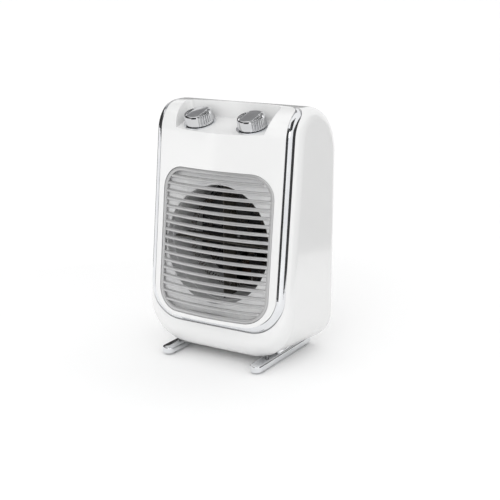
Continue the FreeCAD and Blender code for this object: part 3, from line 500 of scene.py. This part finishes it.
def build_grille():
    """The frame and its level bars in one object."""
    parts = [grille_border()]
    low, high = GRILLE_LOW + GRILLE_BORDER, GRILLE_HIGH - GRILLE_BORDER
    half, corner = GRILLE_HALF - GRILLE_BORDER, GRILLE_CORNER - GRILLE_BORDER
    pitch = (high - low + GRILLE_BAR) / GRILLE_SLOTS
    for index in range(1, GRILLE_SLOTS):
        z = low + index * pitch - GRILLE_BAR / 2
        into = max(0.0, corner - min(z - low, high - z))
        reach = half - corner + math.sqrt(max(corner ** 2 - into ** 2, 0)) + BAR_OVERLAP
        parts.append(grille_bar(z, reach))
    return merged("grille", parts)


finish_piece(build_grille(), "casing", "grille_grey", "front_grille")


# ---- feet -------------------------------------------------------------------------------------------

FOOT_WIDTH, FOOT_LOW, FOOT_HIGH = 13.0, 1.0, 9.0
FOOT_FRONT, FOOT_BACK = -57.3, 55.0
NOSE = 6.4
NOSE_STEPS = 12
NOSE_TIP = 0.6  # half the width that is left at the very tip
NOSE_SHARE = 0.45  # share of the height that the very tip would have
BAR_STEPS = 10
FOOT_SQUARE = 4.5  # how square the section is; 2 would be an ellipse
SECTION_POINTS = 56
SADDLE_HALF, SADDLE_SINK = 5.0, 1.5
SADDLE_FRONT, SADDLE_BACK, SADDLE_TOP = -12.0, 40.0, 12.0


def square_round(share):
    """A sine or cosine pushed outwards, so that a circle becomes a soft square."""
    return math.copysign(abs(share) ** (2 / FOOT_SQUARE), share)


def foot(node):
    """Bar with soft long edges and noses that are round both in plan and in profile."""
    low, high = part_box(node)
    middle = (low.x + high.x) / 2 / MM
    half_width, half_height = FOOT_WIDTH / 2, (FOOT_HIGH - FOOT_LOW) / 2
    level = (FOOT_HIGH + FOOT_LOW) / 2
    turns = [math.pi / 2 * i / NOSE_STEPS for i in range(1, NOSE_STEPS + 1)]
    front = [(FOOT_FRONT + NOSE * (1 - math.cos(t)), math.sin(t)) for t in turns]
    back = [(FOOT_FRONT + FOOT_BACK - y, share) for y, share in reversed(front)]
    start, length = front[-1][0], back[0][0] - front[-1][0]
    run = [(start + length * i / BAR_STEPS, 1.0) for i in range(1, BAR_STEPS)]
    angles = [2 * math.pi * i / SECTION_POINTS for i in range(SECTION_POINTS)]
    outline = [(square_round(math.cos(a)), square_round(math.sin(a))) for a in angles]
    rings = []
    for y, share in front + run + back:
        across = max(half_width * share, NOSE_TIP)
        upward = half_height * (NOSE_SHARE + (1 - NOSE_SHARE) * math.sqrt(share))
        rings.append([Vector((middle + across * u, y, level + upward * v)) for u, v in outline])
    saddle_low = FOOT_HIGH - SADDLE_SINK
    section = (
        (-SADDLE_HALF, saddle_low),
        (SADDLE_HALF, saddle_low),
        (SADDLE_HALF, SADDLE_TOP),
        (-SADDLE_HALF, SADDLE_TOP),
    )
    saddle = [[Vector((middle + dx, y, z)) for dx, z in section] for y in (SADDLE_FRONT, SADDLE_BACK)]
    return merged(node.replace("foot", "bar"), [swept(rings), swept(saddle)])


for side in ("left", "right"):
    finish_piece(foot(side + "_foot"), "casing", "chrome", side + "_foot")


# ---- heating coils ----------------------------------------------------------------------------------


COIL_RADIUS, WIRE_RADIUS = 2.6, 0.32
POINTS_PER_TURN = 14
WIRE_SIDES = 6


def coil(name, node, ring_radius, turns):
    """Resistance wire wound in a small helix whose axis is a ring round the fan's axis."""
    low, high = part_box(node)
    centre = Vector((0, (low.y + high.y) / 2 / MM, (low.z + high.z) / 2 / MM))
    steps = turns * POINTS_PER_TURN
    line = []
    for i in range(steps):
        a, b = 2 * math.pi * i / steps, 2 * math.pi * i / POINTS_PER_TURN
        reach = ring_radius + COIL_RADIUS * math.cos(b)
        line.append(centre + Vector((reach * math.cos(a), COIL_RADIUS * math.sin(b), reach * math.sin(a))))
    angles = [2 * math.pi * k / WIRE_SIDES for k in range(WIRE_SIDES)]
    rings = []
    for i, point in enumerate(line):
        along = (line[(i + 1) % steps] - line[i - 1]).normalized()
        side = along.cross(Vector((0, 1, 0))).normalized()
        up = side.cross(along)
        rings.append([point + (side * math.cos(t) + up * math.sin(t)) * WIRE_RADIUS for t in angles])
    return merged(name, [swept(rings, closed=True)])


for place, ring_radius, turns in (("outer", 45.0, 90), ("inner", 27.0, 54)):
    node = "heating_coil_" + place
    finish_piece(coil("wire_coil_" + place, node, ring_radius, turns), "casing", "coil_wire", node)


# ---- gauze behind the intake slots ------------------------------------------------------------------


def plate(name, low, high):
    """Thin sheet between two corners given in millimetres."""
    outline = ((low[0], low[2]), (high[0], low[2]), (high[0], high[2]), (low[0], high[2]))
    rings = [[Vector((x, y, z)) for x, z in outline] for y in (low[1], high[1])]
    obj = merged(name, [swept(rings)])
    obj.data.polygons.foreach_set("use_smooth", [False] * len(obj.data.polygons))
    return obj


GAUZE_LOW, GAUZE_HIGH = (-55.0, 56.0, 54.0), (55.0, 57.0, 178.0)
finish_piece(plate("intake_gauze", GAUZE_LOW, GAUZE_HIGH), "casing", "black_plastic")


# ---- dials ------------------------------------------------------------------------------------------

DIAL_TILT = math.radians(18)
DIAL_FACES = 360
DIAL_BASE = (-0.0210, 0.2362)  # Y and Z of the middle of the recess floor under a dial, in metres
DIAL_FOOT, DIAL_WAIST, DIAL_SHOULDER, DIAL_HEIGHT = 14.5, 14.2, 2.7, 11.0
DIAL_LIP = 0.45  # height of the rounding of the lower edge
DIAL_CROWN = 0.25  # rise of the top towards the middle
DIAL_APEX = 0.01
UNDERSIDE = 0.35  # the underside lies this much inside the lower edge
UNDERSIDE_RADII = (12.6, 4.2)
KNOB_LIFT = 1.6  # gap between the recess floor and the lower edge
BAR_HALF = 6.9
BAR_EDGE = 0.55  # width of the step beside the bar
STEP_IN, STEP_DOWN = 0.1, 0.15
STEP_HEIGHTS = (8.0, 10.5)  # heights over which the step comes in
FLUTES = 34
FLUTE_DEPTH, FLUTE_DROP = 1.5, 0.8
FLUTE_POWER = 1.2  # above 1 makes the flutes narrower than the ribs between them
FLUTE_FLANK = (54, 60)  # degrees from the side, over which the flutes fade out towards the bar
FLUTE_RADII = (7.4, 8.6)  # radii over which they fade in
FLUTE_HEIGHTS = (0.3, 0.9)  # heights over which they fade in
FLUTE_DROP_HEIGHTS = (9.0, 10.8)  # heights over which they also reach down into the top


def ease(value, start, end):
    """Smooth step from 0 at the start to 1 at the end."""
    t = min(1.0, max(0.0, (value - start) / (end - start)))
    return t * t * (3 - 2 * t)


def dial_profile():
    """Outline from the lower edge, up the side, over the rounded shoulder and in to the middle."""
    points = [(DIAL_FOOT - 0.5, 0.0), (DIAL_FOOT - 0.12, 0.1), (DIAL_FOOT, DIAL_LIP)]
    rise = DIAL_HEIGHT - DIAL_SHOULDER - DIAL_LIP
    for step in range(1, 11):
        points.append((DIAL_FOOT + (DIAL_WAIST - DIAL_FOOT) * step / 10, DIAL_LIP + rise * step / 10))
    for step in range(1, 17):
        angle = math.radians(90 * step / 16)
        radius = DIAL_WAIST - DIAL_SHOULDER * (1 - math.cos(angle))
        points.append((radius, DIAL_HEIGHT - DIAL_SHOULDER * (1 - math.sin(angle))))
    last = DIAL_WAIST - DIAL_SHOULDER
    for step in range(1, 18):
        points.append((last * (1 - step / 18), DIAL_HEIGHT + DIAL_CROWN * math.sin(math.radians(5 * step))))
    return points


def dial_point(radius, height, angle):
    """A point of the round outline, moved in and down where the flutes and the sides of the bar are."""
    c, s = math.cos(angle), math.sin(angle)
    flank = math.degrees(math.atan2(abs(s), abs(c)))
    side = ease(abs(radius * c), BAR_HALF, BAR_HALF + BAR_EDGE)
    fluted = (1 - ease(flank, *FLUTE_FLANK)) * ease(radius, *FLUTE_RADII) * side
    fluted *= ease(height, *FLUTE_HEIGHTS)
    flute = 0.5 - 0.5 * math.cos(angle * FLUTES)
    inward = FLUTE_DEPTH * fluted * flute ** FLUTE_POWER + STEP_IN * side
    step_down = STEP_DOWN * ease(height, *STEP_HEIGHTS)
    flute_down = FLUTE_DROP * fluted * flute * ease(height, *FLUTE_DROP_HEIGHTS)
    drop = side * (step_down + flute_down)
    return Vector(((radius - inward) * c, (radius - inward) * s, height - drop))


def dial(name, node, body):
    """Drum dial with a smooth bar from front to back and fluted flanks."""
    low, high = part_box(node)
    centre = Vector(((low.x + high.x) / 2, *DIAL_BASE))
    turn = Matrix.Rotation(DIAL_TILT, 4, "X")
    angles = [2 * math.pi * index / DIAL_FACES for index in range(DIAL_FACES)]
    rows = [[dial_point(radius, height, angle) for angle in angles] for radius, height in dial_profile()]
    verts = [v for row in rows for v in row]
    n = DIAL_FACES
    faces = []
    for r in range(len(rows) - 1):
        for c in range(n):
            d = (c + 1) % n
            faces.append((r * n + c, r * n + d, (r + 1) * n + d, (r + 1) * n + c))
    verts.append(Vector((0, 0, rows[-1][0].z + DIAL_APEX)))
    last = (len(rows) - 1) * n
    faces += [(last + c, last + (c + 1) % n, len(verts) - 1) for c in range(n)]
    start = 0
    for radius in UNDERSIDE_RADII:
        base = len(verts)
        verts += [Vector((radius * math.cos(a), radius * math.sin(a), UNDERSIDE)) for a in angles]
        faces += [(start + (c + 1) % n, start + c, base + c, base + (c + 1) % n) for c in range(n)]
        start = base
    verts.append(Vector((0, 0, UNDERSIDE)))
    faces += [(start + (c + 1) % n, start + c, len(verts) - 1) for c in range(n)]
    placed = [centre + turn @ ((v + Vector((0, 0, KNOB_LIFT))) * MM) for v in verts]
    finish_piece(mesh_object(name, placed, faces), body, "knob_chrome", node)


dial("thermostat_dial", "thermostat_knob", "thermostat")
dial("selector_dial", "selector_knob", "selector")


# ---- floor and flags --------------------------------------------------------------------------------

flag_cloth = rubber("flag_cloth", (0.03, 0.03, 0.03))
grey_cloth = rubber("grey_cloth", (0.36, 0.36, 0.36))
standing_flag("flag_front", -11, 0.62, 0.44, 0.78, flag_cloth)
standing_flag("flag_right", 114, 0.40, 0.62, 0.4, flag_cloth)
standing_flag("flag_left_back", -130, 0.38, 0.5, 0.4, flag_cloth)
hanging_flag("flag_over_left", -124, 53, 0.7, 0.75, 0.45, grey_cloth)
hanging_flag("flag_front_band", -68, 18, 0.55, 0.72, 0.38, flag_cloth)
hanging_flag("flag_over_front", 34, 50, 0.8, 0.62, 0.62, flag_cloth)

FLOOR_HALF = 30.0
FLOOR_LEVEL = -0.0002  # just under the pads, so that the two don't share a plane
floor = mesh_object(
    "floor",
    [(x * FLOOR_HALF, y * FLOOR_HALF, FLOOR_LEVEL) for x, y in ((-1, -1), (1, -1), (1, 1), (-1, 1))],
    [(0, 1, 2, 3)],
    smooth=False,
)
floor_paint = Paint("floor_paper", (0.95, 0.95, 0.95), 0.7)
floor_paint.tint(floor_paint.noise(3, 2), (0.995, 0.995, 0.995))
floor.data.materials.append(floor_paint.material)
